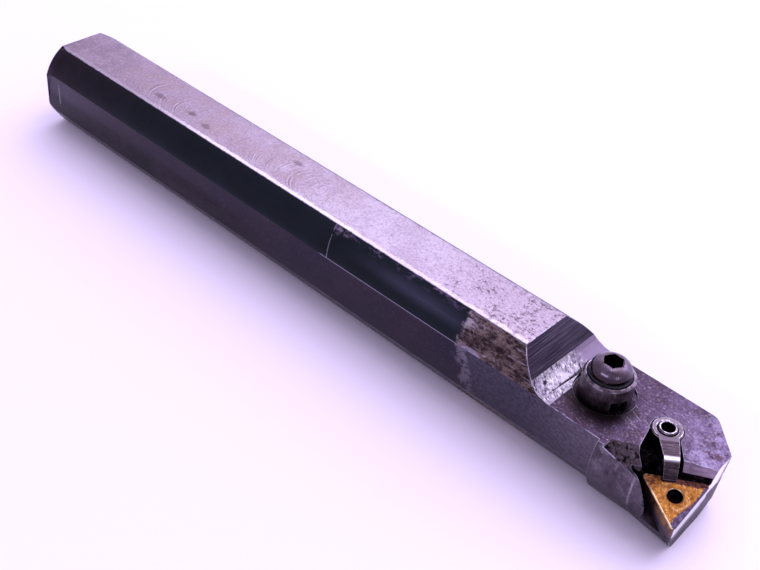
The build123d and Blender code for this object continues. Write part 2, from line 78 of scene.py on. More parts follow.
class Finish:
    """A surface finish being built: its material, its nodes and the place on the piece.

    x, y and z are that place in the part's own axes, in millimetres. A share runs from 0 to 1.
    """

    def __init__(self, name, metal=1.0):
        self.material = bpy.data.materials.new(name)
        self.material.use_nodes = True
        self.tree = self.material.node_tree
        self.tree.nodes.clear()
        self.shader = self.tree.nodes.new("ShaderNodeBsdfPrincipled")
        self.shader.inputs["Metallic"].default_value = metal
        self.node("OutputMaterial", {0: self.shader.outputs[0]})
        on_object = self.node("TexCoord", {}, out=3)
        self.measure_from(self.node("Mapping", {0: on_object, "Scale": (1000, 1000, 1000)}))

    def measure_from(self, place):
        """Takes this vector as the place that the patterns use."""
        self.mm = place
        self.x, self.y, self.z = (self.node("SeparateXYZ", {0: place}, out=i) for i in range(3))

    def node(self, kind, inputs, out=0, **settings):
        return add(self.tree, "ShaderNode" + kind, inputs, out, **settings)

    def math(self, operation, a, b=0.0, c=0.0):
        return self.node("Math", {0: a, 1: b, 2: c}, operation=operation)

    def noise(self, size, where=None, detail=4.0, rough=0.6, warp=0.0):
        """Noise whose blotches are about this many millimetres across."""
        return self.node("TexNoise", {"Vector": where or self.mm, "Scale": 0.7 / size,
                                      "Detail": detail, "Roughness": rough, "Distortion": warp})

    def stretched(self, x=1.0, y=1.0, z=1.0, turn=0.0):
        """The place with its axes drawn out by these factors, turned about Z first."""
        turned = self.node("Mapping", {0: self.mm, "Rotation": (0, 0, math.radians(turn))})
        return self.node("Mapping", {0: turned, "Scale": (1 / x, 1 / y, 1 / z)})

    def fade(self, value, low, high, a=0.0, b=1.0):
        """A smooth change from a to b while the value goes from low to high."""
        return self.node("MapRange", {0: value, 1: low, 2: high, 3: a, 4: b},
                         interpolation_type="SMOOTHSTEP")

    def within(self, value, low, high, soft):
        """1 between two limits, fading to 0 over a soft border."""
        return self.math("MULTIPLY", self.fade(value, low - soft, low + soft),
                         self.fade(value, high + soft, high - soft))

    def near(self, where, radii):
        """1 at a point in millimetres, fading to 0 at these distances along X, Y and Z."""
        moved = self.node("VectorMath", {0: self.mm, 1: where}, operation="SUBTRACT")
        scaled = self.node("VectorMath", {0: moved, 1: radii}, operation="DIVIDE")
        return self.fade(self.node("VectorMath", {0: scaled}, out=1, operation="LENGTH"), 1.0, 0.0)

    def distance(self, axis_at, across=(1, 1, 0)):
        """Millimetres from an axis through this point, in the plane of the axes marked 1."""
        flat = self.node("VectorMath", {0: self.mm, 1: across}, operation="MULTIPLY")
        return self.node("VectorMath", {0: flat, 1: axis_at}, out=1, operation="DISTANCE")

    def reach(self, degrees, start=(0.0, 0.0)):
        """Millimetres from a point, along this direction in the XY plane."""
        turn = math.radians(degrees)
        moved = self.node("VectorMath", {0: self.mm, 1: (*start, 0)}, operation="SUBTRACT")
        return self.node("VectorMath", {0: moved, 1: (math.cos(turn), math.sin(turn), 0)}, out=1,
                         operation="DOT_PRODUCT")

    def both(self, *shares):
        """Where all of these shares hold at once: their product."""
        total = shares[0]
        for share in shares[1:]:
            total = self.math("MULTIPLY", total, share)
        return total

    def mix(self, share, low, high):
        """One colour, or another where the share is 1."""
        low, high = (linear(c) if isinstance(c, str) else c for c in (low, high))
        return self.node("Mix", {0: share, 6: low, 7: high}, out=2, data_type="RGBA")

    def done(self, colour, roughness, bump=None, depth=0.01):
        """Sets colour and roughness, each plain or patterned, and a relief in millimetres."""
        for key, value in (("Base Color", colour), ("Roughness", roughness)):
            if isinstance(value, bpy.types.NodeSocket):
                self.tree.links.new(value, self.shader.inputs[key])
            else:
                plain = linear(value) if isinstance(value, str) else value
                self.shader.inputs[key].default_value = plain
        if bump:
            relief = self.node("Bump", {"Height": bump, "Distance": depth / 1000, "Strength": 1.0})
            self.tree.links.new(relief, self.shader.inputs["Normal"])
        return self.material


def blackened_round():
    """Satin near-black skin on the round bands, with a painted navy sheen where the light would
    rake it. Behind the head it has rusted brown and pitted, with a bare lilac patch at the edge and
    a scratch round the bar."""
    f = Finish("blackened_steel")
    skin = f.mix(f.noise(9), "#1e2323", "#2d3439")
    skin = f.mix(f.fade(f.x, 0, 60), f.mix(f.noise(3), "#1f1e20", "#383038"), skin)
    # painted reflection: a soft navy sheen along the upper band
    painted_sheen = f.both(f.within(f.x, 146, 178, 14), f.near((165, -11.8, 10.8), (60, 3.4, 3.4)))
    skin = f.mix(f.math("MULTIPLY", painted_sheen, 0.42), skin, "#5c5b70")
    # a scratch round the bar, a smudge above it and scuffs along the upper edge
    scratch = f.math("ADD", f.x, f.math("MULTIPLY", f.z, 0.34))
    scratch = f.both(f.within(scratch, 134.15, 134.4, 0.12), f.fade(f.noise(1.6), 0.46, 0.56),
                     f.fade(f.y, -5, -7))
    skin = f.mix(f.math("MULTIPLY", scratch, 0.6), skin, "#a7a8b6")
    smudge = f.both(f.near((132.5, -9.4, 13.0), (4.5, 2.2, 1.8)), f.fade(f.noise(0.8), 0.42, 0.66))
    skin = f.mix(smudge, skin, "#998e9f")
    scuffs = f.both(f.within(f.x, 135, 180, 3), f.fade(f.z, 11.9, 13.5), f.fade(f.y, -7, -8),
                    f.fade(f.noise(0.9, f.stretched(x=2.5)), 0.5, 0.72))
    skin = f.mix(scuffs, skin, "#7a6785")
    # the rusted length, from a ragged border to the run-down
    border = f.math("MULTIPLY_ADD", f.noise(3.2, detail=7.0, rough=0.66), 10.0, f.x)
    lean = f.math("MULTIPLY_ADD", f.z, 0.12, border)
    rusted = f.both(f.fade(lean, 183.6, 185.0), f.fade(f.x, 207, 205), f.fade(f.y, 0, -2))
    crust = f.noise(0.9, f.stretched(x=1.8), detail=10.0, rough=0.78, warp=0.2)
    large = f.noise(2.6, f.stretched(x=1.6), detail=8.0, rough=0.68, warp=0.4)
    rust = f.mix(f.fade(crust, 0.42, 0.6), "#2c2221", "#75665f")
    rust = f.mix(f.fade(large, 0.5, 0.42, 0.0, 0.6), rust, "#2a1f1f")
    pale = f.math("ADD", large, f.fade(lean, 184.5, 191, 0.1, -0.02))
    powdery = f.mix(f.fade(crust, 0.42, 0.58), "#5a4f52", "#a59ca0")
    rust = f.mix(f.fade(pale, 0.54, 0.64), rust, powdery)
    drawn = f.noise(0.45, f.stretched(x=9), detail=5.0, rough=0.66)
    rust = f.mix(f.both(f.fade(drawn, 0.56, 0.66, 0.0, 0.7), f.fade(f.z, 3, 10)), rust, "#958b90")
    rust = f.mix(f.fade(crust, 0.36, 0.3), rust, "#150f10")
    bare = f.both(f.near((184.0, -15.3, 5.6), (5.5, 3.0, 3.2)), f.fade(f.noise(1.5), 0.3, 0.5))
    bare_steel = f.mix(f.fade(crust, 0.4, 0.6), "#7b7480", "#9d96a4")
    rust = f.mix(f.fade(bare, 0.1, 0.35), rust, bare_steel)
    skin = f.mix(rusted, skin, rust)
    relief = f.math("MULTIPLY", crust, f.fade(rusted, 0, 1, 0.04, 1.0))
    grain = f.noise(0.5)
    rough = f.math("ADD", f.fade(grain, 0.3, 0.7, 0.3, 0.4), f.math("MULTIPLY", rusted, 0.1))
    return f.done(skin, rough, relief, 0.35)


def blackened_flat():
    """The same skin on milled flats: violet grey and cloudy, black low down at the rear, with a
    worn lighter patch behind the head and its long edges rubbed to thin bright lines."""
    f = Finish("blackened_flat")
    cloud = f.noise(7, f.stretched(x=1.6), detail=7.0, rough=0.66)
    grain = f.noise(0.6, f.stretched(x=1.4), detail=6.0, rough=0.72)
    front = f.fade(f.y, -10, -14)
    skin = f.mix(f.fade(f.x, 0, 45), "#3f3b47", "#2c2832")
    low = f.both(f.fade(f.z, 4.5, -4.0), f.fade(f.x, 120, 80), front)
    low = f.fade(f.math("MULTIPLY_ADD", cloud, 1.2, low), 0.75, 1.3)
    skin = f.mix(f.math("MULTIPLY", low, 0.9), skin, "#19181a")
    skin = f.mix(f.fade(cloud, 0.4, 0.66, 0.0, 0.6), skin, "#3a3138")
    skin = f.mix(f.fade(grain, 0.5, 0.7, 0.0, 0.5), skin, "#514c5c")
    worn = f.math("MULTIPLY_ADD", f.noise(3.4, detail=8.0, rough=0.7), 9.0, f.x)
    worn = f.math("MULTIPLY_ADD", f.z, 0.35, worn)
    ahead = f.fade(worn, 186.0, 189.5)
    tint = f.mix(f.fade(grain, 0.35, 0.65), "#36343f", "#524f5a")
    by_head = f.mix(f.fade(grain, 0.35, 0.65), "#544e58", "#726b75")
    tint = f.mix(f.fade(f.x, 200, 222), tint, by_head)
    skin = f.mix(f.math("MULTIPLY", ahead, 0.8), skin, tint)
    patch = f.both(f.within(worn, 185.4, 189.4, 0.5), front,
                   f.fade(f.noise(1.1, detail=6.0), 0.4, 0.56))
    skin = f.mix(f.math("MULTIPLY", patch, 0.5), skin, "#85808a")
    upper = f.both(f.within(f.z, 6.22, 6.6, 0.06), f.within(f.x, 129.5, 180, 0.8),
                   f.fade(f.noise(4), 0.3, 0.42))
    lower = f.both(f.within(f.z, -6.6, -6.2, 0.08), f.fade(f.x, 60, 120),
                   f.fade(f.noise(3), 0.34, 0.5, 0.3, 0.8))
    skin = f.mix(f.both(front, f.math("MAXIMUM", upper, lower)), skin, "#8f8b98")
    end_line = f.both(f.within(f.x, 7.2, 7.7, 0.25), f.within(f.z, -3.4, 4.2, 0.8), front,
                      f.fade(f.noise(1.2), 0.35, 0.5))
    skin = f.mix(f.math("MULTIPLY", end_line, 0.6), skin, "#8b8b92")
    return f.done(skin, f.fade(grain, 0.3, 0.7, 0.34, 0.46), grain, 0.012)


TOP_FLAT_Z = 13.65
WHEEL_RADIUS = 52.0 ** 0.5           # of the arcs that the grinding wheel leaves


def ground_flat():
    """Ground steel with the cup wheel's arcs, a tea-coloured bloom in the middle, stains at the
    rear and pits that thicken towards the head; a strip along the front edge stays clean. A painted
    reflection lightens the middle of its length, and painted shade darkens it towards the head."""
    f = Finish("ground_steel")
    # each arc keeps its distance from a centre that moves along the bar
    side = f.math("MULTIPLY", f.y, f.y)
    ahead = f.math("SQRT", f.math("MAXIMUM", f.math("SUBTRACT", WHEEL_RADIUS ** 2, side), 0.0))
    feed = f.math("ADD", f.x, ahead)
    lines = f.node("TexNoise", {"W": feed, "Scale": 1.5, "Detail": 4.0, "Roughness": 0.7},
                   noise_dimensions="1D")
    seen = f.math("MAXIMUM", f.within(f.x, 34, 62, 9), f.within(f.x, 84, 118, 9))
    seen = f.both(seen, f.fade(f.y, -7.2, -5.4), f.fade(f.y, 7.2, 0.0, 0.1, 1.0),
                  f.fade(f.noise(4, detail=5.0), 0.36, 0.62))
    # painted reflection: darker at the rear, lighter along the middle; painted shade towards the
    # head
    metal = f.mix(f.fade(f.x, 20, 150), "#968a90", "#bbb6b8")
    metal = f.mix(f.fade(f.x, 135, 190), metal, "#a9a0a3")
    cloud = f.noise(9, detail=6.0, rough=0.62)
    metal = f.mix(f.fade(cloud, 0.4, 0.64, 0.0, 0.55), metal, "#a1959b")
    bloom = f.both(f.within(f.x, 22, 125, 18), f.fade(f.y, -7.2, -4.5),
                   f.fade(f.noise(6, detail=5.0), 0.38, 0.62))
    metal = f.mix(f.math("MULTIPLY", bloom, 0.55), metal, "#9c8b84")
    metal = f.mix(f.both(seen, f.fade(lines, 0.5, 0.36)), metal, "#796b71")
    metal = f.mix(f.both(seen, f.fade(lines, 0.54, 0.68)), metal, "#c2bdbb")
    rear = f.both(f.fade(f.x, 48, 6), f.fade(f.noise(4.0, detail=7.0), 0.4, 0.6))
    metal = f.mix(f.math("MULTIPLY", rear, 0.6), metal, "#786c70")
    # salt-and-pepper grain, specks, then pits
    grain = f.noise(0.42, f.stretched(y=1.3), detail=5.0, rough=0.8)
    coarse = f.noise(1.3, detail=6.0, rough=0.72)
    metal = f.mix(f.fade(grain, 0.52, 0.38, 0.0, 0.5), metal, "#75686f")
    metal = f.mix(f.fade(grain, 0.54, 0.68, 0.0, 0.5), metal, "#d3cfcf")
    metal = f.mix(f.fade(coarse, 0.54, 0.68, 0.0, 0.45), metal, "#83757e")
    speck = f.noise(0.5, detail=7.0, rough=0.78)
    speck = f.math("MULTIPLY_ADD", f.fade(f.x, 100, 190), 0.055, speck)
    dots = f.both(f.fade(speck, 0.63, 0.67), f.fade(f.x, 90, 130, 0.3, 0.85))
    metal = f.mix(dots, metal, "#5d4e58")
    pit = f.noise(0.8, f.stretched(x=1.4), detail=9.0, rough=0.78)
    pit = f.math("MULTIPLY_ADD", f.noise(4.5, detail=3.0), 0.34, pit)
    pit = f.math("MULTIPLY_ADD", f.fade(f.x, 140, 192), 0.07, pit)
    pits = f.both(f.fade(pit, 0.785, 0.825), f.fade(f.x, 145, 172))
    metal = f.mix(f.math("MULTIPLY", pits, 0.6), metal, "#44363a")
    for x, y, long, wide, code in (
            (60.2, -2.1, 3.6, 2.2, "#3f303a"), (68.5, -3.6, 4.0, 2.2, "#4f404a"),
            (45.9, -2.9, 5.2, 2.4, "#4f4048"), (101, 4, 4.5, 2.2, "#55464c")):
        stain = f.near((x, y, TOP_FLAT_Z), (long, wide, 4))
        spot = f.math("MULTIPLY_ADD", stain, 0.3, f.noise(0.5, detail=8.0, rough=0.8))
        metal = f.mix(f.both(f.fade(spot, 0.6, 0.68, 0.0, 0.6), stain), metal, code)
    clean = f.math("MULTIPLY_ADD", f.noise(2.4, f.stretched(x=2), detail=6.0, rough=0.7), 2.6, f.y)
    clean = f.both(f.fade(clean, -5.4, -6.1), f.fade(f.x, 40, 80, 0.15, 0.85),
                   f.fade(f.x, 120, 150, 1.0, 0.55))
    metal = f.mix(clean, metal, f.mix(f.fade(grain, 0.4, 0.6), "#cfccc6", "#f0f1e8"))
    edge = f.both(f.fade(f.y, -8.12, -8.26), f.fade(f.noise(3, f.stretched(x=3)), 0.3, 0.5))
    metal = f.mix(edge, metal, "#ced2c4")
    nick = f.both(f.near((111.8, -7.6, TOP_FLAT_Z), (1.1, 1.7, 3)), f.fade(f.noise(0.5), 0.3, 0.45))
    metal = f.mix(nick, metal, "#d7e1c7")
    rough = f.math("ADD", f.fade(grain, 0.3, 0.7, 0.36, 0.5), f.math("MULTIPLY", pits, 0.15))
    relief = f.math("MULTIPLY_ADD", f.both(lines, seen), 0.4, f.math("MULTIPLY", grain, 0.3))
    return f.done(metal, rough, f.math("SUBTRACT", relief, pits), 0.03)


def milled_slope():
    """Face-milled slope: dark grey with fine bright lines straight across the bar."""
    f = Finish("milled_slope")
    lines = f.noise(0.22, f.stretched(y=40), detail=5.0, rough=0.7)
    steel = f.mix(f.fade(lines, 0.38, 0.62), "#242128", "#403b44")
    steel = f.mix(f.fade(lines, 0.6, 0.74), steel, "#7c7b80")
    return f.done(steel, f.fade(lines, 0.3, 0.7, 0.32, 0.46), lines, 0.02)


def milled_radius():
    """Bright cutter radius, dug with short dark chatter marks in front and smoother behind."""
    f = Finish("milled_radius")
    marks = f.noise(0.5, f.stretched(x=2.0, y=0.9, turn=32), detail=6.0, rough=0.76)
    strokes = f.noise(1.1, f.stretched(x=2.4, y=0.8, turn=32), detail=4.0, rough=0.6)
    dug = f.both(f.fade(f.y, 7.0, 2.5), f.fade(f.noise(3.0), 0.34, 0.5))
    steel = f.mix(f.noise(2.5), "#7e7b7f", "#ababa7")
    steel = f.mix(f.fade(f.y, -3, 7), steel, "#675f6a")
    steel = f.mix(f.fade(f.y, -9.5, -13, 0.0, 0.6), steel, "#7b7581")
    steel = f.mix(f.both(dug, f.fade(marks, 0.5, 0.42)), steel, "#4b444c")
    steel = f.mix(f.both(dug, f.fade(strokes, 0.45, 0.38)), steel, "#2a252a")
    steel = f.mix(f.both(dug, f.fade(marks, 0.55, 0.66)), steel, "#e0e3d2")
    groove = f.both(f.within(f.y, -13.6, -13.35, 0.1), f.fade(f.noise(1.2), 0.35, 0.5))
    steel = f.mix(groove, steel, "#4c4437")
    return f.done(steel, f.fade(marks, 0.3, 0.7, 0.4, 0.26), f.math("MULTIPLY", marks, dug), 0.15)


def dulled_top():
    """Milled face of the head, dulled violet grey and mottled, with bright flecks; it is darker
    round the nozzle, most of all in front of it."""
    f = Finish("dulled_steel")
    blotch = f.noise(3.2, detail=7.0, rough=0.68, warp=0.4)
    grain = f.noise(0.5, detail=6.0, rough=0.75)
    steel = f.mix(f.fade(f.x, 212, 246), "#413540", "#655a6d")
    steel = f.mix(f.fade(blotch, 0.42, 0.58, 0.0, 0.8), steel, "#45383f")
    rubbed_and_highlight = f.both(f.fade(f.x, 234, 244), f.fade(f.noise(2.2, detail=6.0), 0.42, 0.62))
    steel = f.mix(rubbed_and_highlight, steel, "#857c90")
    brown = f.near((247.0, 1.5, 6.3), (2.6, 2.4, 3))
    steel = f.mix(f.fade(brown, 0.2, 0.7, 0.0, 0.8), steel, "#4b343a")
    steel = f.mix(f.fade(grain, 0.36, 0.5, 0.75, 0.0), steel, "#312730")
    steel = f.mix(f.fade(grain, 0.53, 0.66, 0.0, 0.7), steel, "#8e868d")
    # darker round the nozzle, most of all in front of it
    away = f.math("MULTIPLY_ADD", f.noise(2.2), 3.0, f.distance((216.0, -1.9, 0)))
    darkened = f.both(f.fade(away, 13.2, 9.6), f.fade(f.y, 7, -2))
    steel = f.mix(f.math("MULTIPLY", darkened, 0.85), steel, "#251e1e")
    flecks = f.both(f.fade(f.noise(0.7, detail=5.0), 0.66, 0.72), f.fade(away, 9, 12))
    steel = f.mix(f.math("MULTIPLY", flecks, 0.6), steel, "#c5c2b9")
    scratches = f.noise(0.35, f.stretched(x=9, turn=24), detail=3.0)
    steel = f.mix(f.fade(scratches, 0.64, 0.74, 0.0, 0.35), steel, "#b4adac")
    return f.done(steel, f.fade(blotch, 0.3, 0.7, 0.38, 0.52), f.math("ADD", blotch, grain), 0.05)


def stained_swell():
    """Turned swell under the insert: grey brown, rubbed satin, with stains that run down it and a
    paler crease where the flare starts."""
    f = Finish("satin_steel")
    runs = f.noise(2.2, f.stretched(y=3, z=3), detail=6.0, rough=0.66)
    blotch = f.noise(2.6, detail=7.0, rough=0.68)
    steel = f.mix(f.fade(runs, 0.34, 0.66), "#413a41", "#635a64")
    steel = f.mix(f.fade(blotch, 0.5, 0.68, 0.0, 0.6), steel, "#8a8588")
    steel = f.mix(f.fade(blotch, 0.46, 0.34, 0.0, 0.7), steel, "#383232")
    crease = f.both(f.within(f.x, 235.9, 236.4, 0.25), f.fade(f.noise(1.5), 0.3, 0.55))
    steel = f.mix(crease, steel, "#918c90")
    # a near-black patch on the front, and the lower part darker
    low = f.fade(f.z, -3, -9)
    near_black_patch = f.near((240.6, -15.6, -1.0), (3.4, 3.0, 7.0))
    near_black_patch = f.math("MULTIPLY_ADD", f.noise(1.4, detail=7.0, rough=0.7), 1.1, near_black_patch)
    steel = f.mix(f.fade(near_black_patch, 0.92, 1.02), steel, "#110d0c")
    steel = f.mix(f.math("MULTIPLY", low, 0.7), steel, "#2f2a30")
    return f.done(steel, f.fade(blotch, 0.3, 0.7, 0.34, 0.5), blotch, 0.06)


def pitted_gullet():
    """Chip gullet: chips have dug and browned it, black in its hollows."""
    f = Finish("pitted_steel")
    blotch = f.noise(1.5, detail=8.0, rough=0.7, warp=0.6)
    fine = f.noise(0.5, detail=5.0, rough=0.75)
    steel = f.mix(f.fade(blotch, 0.42, 0.52), "#0a0807", "#352e30")
    steel = f.mix(f.fade(fine, 0.52, 0.66, 0.0, 0.6), steel, "#5a5355")
    return f.done(steel, f.fade(blotch, 0.35, 0.65, 0.6, 0.42), blotch, 0.14)


def brushed_bevel():
    """Bevel above the insert's wall: mid grey, filed by hand, with fine lines along it."""
    f = Finish("filed_steel")
    lines = f.noise(0.5, f.stretched(x=5, turn=-30), detail=6.0, rough=0.7)
    blotch = f.noise(2.0, detail=6.0)
    steel = f.mix(f.fade(lines, 0.3, 0.7), "#7a6b7a", "#a2929e")
    steel = f.mix(f.fade(blotch, 0.5, 0.7, 0.0, 0.6), steel, "#615360")
    return f.done(steel, 0.42, lines, 0.02)


def painted_recess_shade():
    """Walls and floors of slot, relief hole, recess and pocket: painted shade, nearly black, with
    fine chips.
    """
    f = Finish("painted_recess_shade")
    # painted shade: nearly black, flecked with fine chips
    lump = f.noise(0.9, detail=7.0, rough=0.7)
    darkened = f.mix(f.fade(lump, 0.5, 0.66), "#0d0a0c", "#3b3038")
    return f.done(darkened, 0.6, lump, 0.08)


def worn_end():
    """End face: rubbed nearly white, with dark patches along its lower edge."""
    f = Finish("rubbed_end")
    blotch = f.noise(1.3, detail=8.0, rough=0.74)
    steel = f.mix(f.noise(0.8), "#f4f2f2", "#ffffff")
    down = f.math("MULTIPLY_ADD", blotch, 6.0, f.z)
    steel = f.mix(f.fade(down, 1.8, 0.4, 0.0, 0.95), steel, "#2a2228")
    steel = f.mix(f.both(f.fade(f.y, 1.5, 4.5), f.fade(blotch, 0.3, 0.5)), steel, "#5d4c50")
    return f.done(steel, f.fade(blotch, 0.3, 0.7, 0.5, 0.66), blotch, 0.05)


def rubbed_edge():
    """Edges that hands, chips and clamps have rubbed through: bright and patchy, and hardly worn
    on the rear half of the shank."""
    f = Finish("rubbed_edge")
    patch = f.noise(1.6, detail=6.0, rough=0.7)
    kept = f.math("MULTIPLY", f.fade(f.x, 125, 131), f.fade(f.z, -7, -3, 0.35, 1.0))
    kept = f.math("MAXIMUM", kept, f.fade(f.z, 13.2, 13.5))
    pocket = f.both(f.fade(f.x, 229, 230.5), f.fade(f.z, 6.05, 5.9), f.fade(f.y, 9, 6),
                    f.fade(f.x, 248.6, 248.2))
    kept = f.math("MULTIPLY", kept, f.fade(pocket, 0, 1, 1.0, 0.3))
    bright = f.both(kept, f.fade(patch, 0.36, 0.56, 0.15, 1.0))
    steel = f.mix(bright, "#29272d", f.mix(f.noise(0.6), "#7f798b", "#c0bdc2"))
    return f.done(steel, 0.34)


SHARP = math.radians(25)             # a sharper bend between faces is an edge
FLAT = math.radians(0.4)             # faces that bend less than this become one
SAME_POINT = 2e-6                    # metres
AT_REAR = 5e-5                       # metres: corners this near to X = 0 are on the rear face
INLET_REACH = 0.01                   # metres: rear edges nearer to the axis are the inlet's


def bake_modifiers(piece):
    """Makes what the piece's modifiers give its own mesh, and takes them off."""
    bpy.context.view_layer.update()
    ready = piece.evaluated_get(bpy.context.evaluated_depsgraph_get())
    piece.data = bpy.data.meshes.new_from_object(ready)
    piece.modifiers.clear()


def solid_copy(node, name, finishes, zone=None, body="bar", edge_break=0.0, rear_break=0.0,
               reshape=None):
    """A dressed copy of a CAD solid: faces joined and smoothed, edges broken, finishes laid on.

    zone names the finish of a face from its middle in millimetres and its direction; without it the
    first one covers all. Edges are broken by edge_break millimetres, round the bar's rear face by
    rear_break, and get the last finish. Edges between two faces of painted shade stay sharp.
    """
    order = list(finishes)
    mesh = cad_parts[node].data.copy()
    mesh.materials.clear()
    for material in finishes.values():
        mesh.materials.append(material)
    lowest, highest = ([end(vertex.co[axis] for vertex in mesh.vertices) for axis in range(3)]
                       for end in (min, max))
    shape = bmesh.new()
    shape.from_mesh(mesh)
    bmesh.ops.remove_doubles(shape, verts=shape.verts, dist=SAME_POINT)
    if reshape:
        reshape(shape)
    bmesh.ops.dissolve_limit(shape, angle_limit=FLAT, verts=shape.verts, edges=shape.edges)
    bmesh.ops.triangulate(shape, faces=[face for face in shape.faces if len(face.verts) > 4])
    for face in shape.faces:
        face.smooth = True
        if zone:
            face.material_index = order.index(zone(face.calc_center_median() * 1000, face.normal))
    widest = max(edge_break, rear_break)
    share = shape.edges.layers.float.new("bevel_weight_edge")     # of the widest break
    for edge in shape.edges:
        if not edge_break or len(edge.link_faces) != 2 or edge.calc_face_angle() <= SHARP:
            continue
        if all(order[face.material_index] == "dirt" for face in edge.link_faces):
            continue
        at_rear = all(abs(vertex.co.x) < AT_REAR and vertex.co.yz.length > INLET_REACH
                      for vertex in edge.verts)
        edge[share] = (rear_break if at_rear and rear_break else edge_break) / widest
    shape.to_mesh(mesh)
    shape.free()
    mesh.set_sharp_from_angle(angle=SHARP)
    piece = bpy.data.objects.new(name, mesh)
    bpy.context.collection.objects.link(piece)
    if edge_break:
        broken = piece.modifiers.new("edge_break", "BEVEL")
        broken.width = widest / 1000
        broken.segments = 2
        broken.limit_method = "WEIGHT"
        broken.use_clamp_overlap = False
        broken.harden_normals = True
        broken.material = len(finishes) - 1
        bake_modifiers(piece)
        # no corner of a broken edge stands out of the solid's box
        for vertex in piece.data.vertices:
            limits = zip(vertex.co, lowest, highest)
            vertex.co = Vector([min(max(at, low), high) for at, low, high in limits])
    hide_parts(node)
    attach(piece, body)
    return piece


SQUARE = 0.999           # least part of a direction along an axis, for a face square to that axis
TOUCH = 0.02             # millimetres: what is this near to a face's place lies on that face
HEAD_TOP_Z = 6.3
NOZZLE_SEAT_Z = 5.3
SHANK_END_X = 224.5      # the long flats end here, and the swell begins
SKIN_RADIUS = 13.3       # beyond this a face is on the bar's outside, not in a hole or pocket


def bar_zone(at, normal):
    """Which finish a face of the bar has."""
    from_axis = math.hypot(at.y, at.z)
    if normal.z > SQUARE and at.z > 13.5:
        return "ground top flat"
    if 0.6 < normal.x < 0.63 and 195 < at.x < 204:
        return "slope"
    if normal.x > 0.005 and abs(normal.y) < 0.01 and normal.z > 0.7 and 199 < at.x < 210:
        return "radius"
    if normal.z > SQUARE and min(abs(at.z - HEAD_TOP_Z), abs(at.z - NOZZLE_SEAT_Z)) < TOUCH:
        return "head top"
    if abs(normal.y) > SQUARE and abs(at.y) > 13 and at.x < SHANK_END_X:
        return "side flat"
    if normal.z < -SQUARE and at.z < -13:
        return "side flat"
    if at.x > 240 and normal.x > 0.9 and at.y > -16:
        return "end face"
    if 0.94 < normal.z < 0.97 and at.x > 223 and at.z < 6.2:
        return "gullet"
    above_wall = 3.85 < at.z < 6.29 and at.x > 233 and from_axis < 14
    if above_wall and 0.08 < normal.z < 0.9 and normal.y < -0.3:
        return "bevel"
    if at.x > 223.9 and (from_axis > SKIN_RADIUS or normal.y > 0.5):
        return "swell"
    # faces in the head's holes and pockets get painted shade, nearly black
    return "dirt" if at.x > 205 and from_axis <= SKIN_RADIUS else "round"


THREAD_CORE = 5.725      # radius, millimetres
THREAD_ROOT = 6.578
THREAD_LENGTH = 14.0


def tapped_inlet(shape):
    """Opens the inlet from the thread's core to its root, so that the thread can stand in it.

    The coolant bore lies low and cuts into the inlet's rim, which is made round there too.
    """
    for vertex in shape.verts:
        along, from_axis = vertex.co.x * 1000, vertex.co.yz.length * 1000
        on_wall = abs(from_axis - THREAD_CORE) < TOUCH and along < THREAD_LENGTH + TOUCH
        on_rim = THREAD_CORE < from_axis < THREAD_ROOT and along < TOUCH
        if on_wall or on_rim:
            vertex.co.yz = vertex.co.yz * THREAD_ROOT / from_axis


bar_finishes = {
    "round": blackened_round(), "side flat": blackened_flat(), "ground top flat": ground_flat(),
    "slope": milled_slope(), "radius": milled_radius(), "head top": dulled_top(),
    "swell": stained_swell(), "gullet": pitted_gullet(), "bevel": brushed_bevel(),
    "end face": worn_end(), "dirt": painted_recess_shade(), "edge": rubbed_edge(),
}
bar = solid_copy("bar_body", "bar", bar_finishes, bar_zone, edge_break=0.14, rear_break=1.1,
                 reshape=tapped_inlet)


# Thread of the coolant inlet: a parallel pipe thread, tapped in the steel of the bar's rear end and
# left as cut, black in its roots. One turn of a three-cornered ridge is repeated at the pitch.

THREAD_PITCH = 1.337     # millimetres
THREAD_TURNS = 9
THREAD_START = 0.6       # middle of the first ridge, from the rear face
TURN_GAP = 0.12          # corners of two turns that are nearer than this become one


def tapped_steel():
    """Cut thread: grey crests over black roots."""
    f = Finish("tapped_steel")
    out = f.distance((0, 0, 0), across=(0, 1, 1))
    steel = f.mix(f.noise(0.8), "#6d6670", "#948d95")
    return f.done(f.mix(f.fade(out, 5.85, 6.3), steel, "#171315"), 0.4, f.noise(0.3), 0.01)


